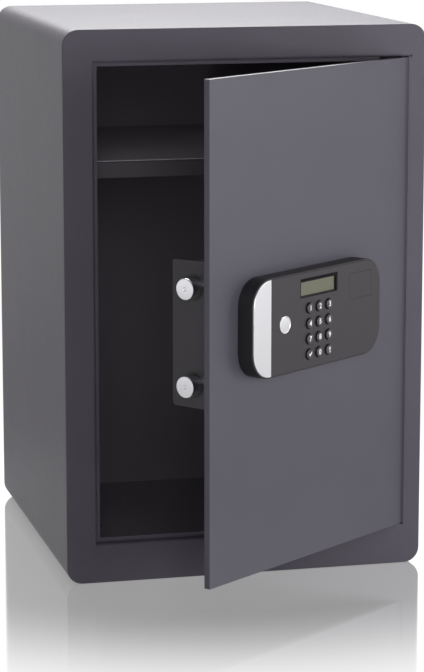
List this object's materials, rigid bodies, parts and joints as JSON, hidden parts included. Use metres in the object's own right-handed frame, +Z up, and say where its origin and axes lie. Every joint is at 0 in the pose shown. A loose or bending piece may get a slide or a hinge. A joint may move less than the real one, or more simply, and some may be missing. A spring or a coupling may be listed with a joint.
{
  "type": "electronic safe",
  "caption": "Floor-standing steel safe with a hinged flush door, motor-driven round bolts, a keypad lock with display, a shelf and anchor holes.",
  "frame": {"origin": "centre of the base, on the surface that the safe stands on", "axes": "+Z up; the front with the door faces -Y; the door is hinged at the +X side"},
  "size_m": [0.35, 0.5406, 0.525],
  "materials": {
    "body_coat": "satin powder coat, dark warm grey",
    "door_coat": "satin powder coat, dark warm grey",
    "inner_coat": "matt black coat",
    "cover_coat": "fine textured black coat",
    "felt": "dark felt",
    "bolt_chrome": "polished chrome plating",
    "zinc_steel": "zinc plated steel",
    "brass": "turned brass",
    "housing_plastic": "matt black moulded plastic",
    "face_plastic": "satin dark grey inlay",
    "cap_chrome": "satin chrome plating",
    "key_plastic": "satin grey key",
    "lcd_glass": "grey-green display behind glass",
    "key_rubber": "silicone mat",
    "board": "green circuit board",
    "cell_wrap": "printed cell sleeve, plain",
    "pale_plastic": "pale moulded gearbox",
    "black_plastic": "black moulded plastic",
    "red_plastic": "red button",
    "ribbon": "grey flat cable"
  },
  "bodies": {
    "body": {"outer_wrap": "body_coat", "front_frame": "body_coat", "rear_panel": "body_coat", "strike_plate": "inner_coat", "upper_hinge_pin": "zinc_steel", "lower_hinge_pin": "zinc_steel", "left_shelf_bracket": "inner_coat", "right_shelf_bracket": "inner_coat", "floor_mat": "felt"},
    "door": {"door_plate": "door_coat", "upper_hinge_lug": "zinc_steel", "lower_hinge_lug": "zinc_steel", "hinge_washer": "brass", "guide_bracket": "cover_coat", "guide_bushes": "black_plastic", "bracket_screws": "zinc_steel", "gearbox": "pale_plastic", "motor_can": "zinc_steel", "motor_bracket": "zinc_steel", "motor_screws": "zinc_steel", "lock_cover": "cover_coat", "standoffs": "zinc_steel", "cover_screws": "zinc_steel", "battery_tray": "black_plastic", "battery_cells": "cell_wrap", "main_board": "board", "keypad_ribbon": "ribbon", "keypad_housing": "housing_plastic", "face_plate": "face_plastic", "end_cap": "cap_chrome", "badge_disc": "cap_chrome", "lcd_module": "lcd_glass", "keypad_board": "board", "key_mat": "key_rubber", "housing_screws": "zinc_steel", "override_lock": "zinc_steel"},
    "bolt_carriage": {"upper_bolt": "bolt_chrome", "lower_bolt": "bolt_chrome", "bolt_carrier": "zinc_steel", "rack": "zinc_steel", "carrier_screws": "zinc_steel"},
    "pinion_shaft": {"pinion": "brass", "output_shaft": "zinc_steel"},
    "key_1": {"key_1": "key_plastic"},
    "key_2": {"key_2": "key_plastic"},
    "key_3": {"key_3": "key_plastic"},
    "key_4": {"key_4": "key_plastic"},
    "key_5": {"key_5": "key_plastic"},
    "key_6": {"key_6": "key_plastic"},
    "key_7": {"key_7": "key_plastic"},
    "key_8": {"key_8": "key_plastic"},
    "key_9": {"key_9": "key_plastic"},
    "key_enter": {"key_enter": "key_plastic"},
    "key_0": {"key_0": "key_plastic"},
    "key_cancel": {"key_cancel": "key_plastic"},
    "reset_button": {"reset_button": "red_plastic"},
    "battery_lid": {"battery_lid": "black_plastic"},
    "override_cover": {"override_cover": "face_plastic"},
    "override_plug": {"override_plug": "brass"},
    "shelf": {"shelf": "inner_coat"}
  },
  "joints": [
    {"name": "door_swing", "type": "hinge", "parent": "body", "child": "door", "pos_m": [0.1532, -0.176, 0], "axis": [0, 0, 1], "range_deg": [-37.5, 67.5]},
    {"name": "bolt_throw", "type": "slide", "parent": "door", "child": "bolt_carriage", "axis": [-0.7934, -0.6088, 0], "range_m": [0, 0.02]},
    {"name": "pinion_spin", "type": "hinge", "parent": "door", "child": "pinion_shaft", "pos_m": [-0.01688, -0.27878, 0.2624], "axis": [0, 0, 1], "range_deg": [0, 127.5]},
    {"name": "battery_lid_slide", "type": "slide", "parent": "door", "child": "battery_lid", "axis": [0.7934, 0.6088, 0], "range_m": [0, 0.06]},
    {"name": "override_cover_pull", "type": "slide", "parent": "door", "child": "override_cover", "axis": [0.6088, -0.7934, 0], "range_m": [0, 0.02]},
    {"name": "override_plug_turn", "type": "hinge", "parent": "door", "child": "override_plug", "pos_m": [0.08054, -0.23679, 0.2901], "axis": [0.6088, -0.7934, 0], "range_deg": [0, 90]},
    {"name": "shelf_lift", "type": "slide", "parent": "body", "child": "shelf", "axis": [0, 0, 1], "range_m": [0, 0.08]},
    {"name": "reset_press", "type": "slide", "parent": "door", "child": "reset_button", "axis": [0.6088, -0.7934, 0], "range_m": [0, 0.0015], "stiffness_N_per_m": 300, "springref_m": -0.0008},
    {"name": "key_1_press", "type": "slide", "parent": "door", "child": "key_1", "axis": [-0.6088, 0.7934, 0], "range_m": [0, 0.0012], "stiffness_N_per_m": 300, "springref_m": -0.0008},
    {"name": "key_2_press", "type": "slide", "parent": "door", "child": "key_2", "axis": [-0.6088, 0.7934, 0], "range_m": [0, 0.0012], "stiffness_N_per_m": 300, "springref_m": -0.0008},
    {"name": "key_3_press", "type": "slide", "parent": "door", "child": "key_3", "axis": [-0.6088, 0.7934, 0], "range_m": [0, 0.0012], "stiffness_N_per_m": 300, "springref_m": -0.0008},
    {"name": "key_4_press", "type": "slide", "parent": "door", "child": "key_4", "axis": [-0.6088, 0.7934, 0], "range_m": [0, 0.0012], "stiffness_N_per_m": 300, "springref_m": -0.0008},
    {"name": "key_5_press", "type": "slide", "parent": "door", "child": "key_5", "axis": [-0.6088, 0.7934, 0], "range_m": [0, 0.0012], "stiffness_N_per_m": 300, "springref_m": -0.0008},
    {"name": "key_6_press", "type": "slide", "parent": "door", "child": "key_6", "axis": [-0.6088, 0.7934, 0], "range_m": [0, 0.0012], "stiffness_N_per_m": 300, "springref_m": -0.0008},
    {"name": "key_7_press", "type": "slide", "parent": "door", "child": "key_7", "axis": [-0.6088, 0.7934, 0], "range_m": [0, 0.0012], "stiffness_N_per_m": 300, "springref_m": -0.0008},
    {"name": "key_8_press", "type": "slide", "parent": "door", "child": "key_8", "axis": [-0.6088, 0.7934, 0], "range_m": [0, 0.0012], "stiffness_N_per_m": 300, "springref_m": -0.0008},
    {"name": "key_9_press", "type": "slide", "parent": "door", "child": "key_9", "axis": [-0.6088, 0.7934, 0], "range_m": [0, 0.0012], "stiffness_N_per_m": 300, "springref_m": -0.0008},
    {"name": "key_enter_press", "type": "slide", "parent": "door", "child": "key_enter", "axis": [-0.6088, 0.7934, 0], "range_m": [0, 0.0012], "stiffness_N_per_m": 300, "springref_m": -0.0008},
    {"name": "key_0_press", "type": "slide", "parent": "door", "child": "key_0", "axis": [-0.6088, 0.7934, 0], "range_m": [0, 0.0012], "stiffness_N_per_m": 300, "springref_m": -0.0008},
    {"name": "key_cancel_press", "type": "slide", "parent": "door", "child": "key_cancel", "axis": [-0.6088, 0.7934, 0], "range_m": [0, 0.0012], "stiffness_N_per_m": 300, "springref_m": -0.0008}
  ],
  "couplings": [
    {"joint": "pinion_spin", "follows": "bolt_throw", "rad_per_m": 111.11}
  ]
}
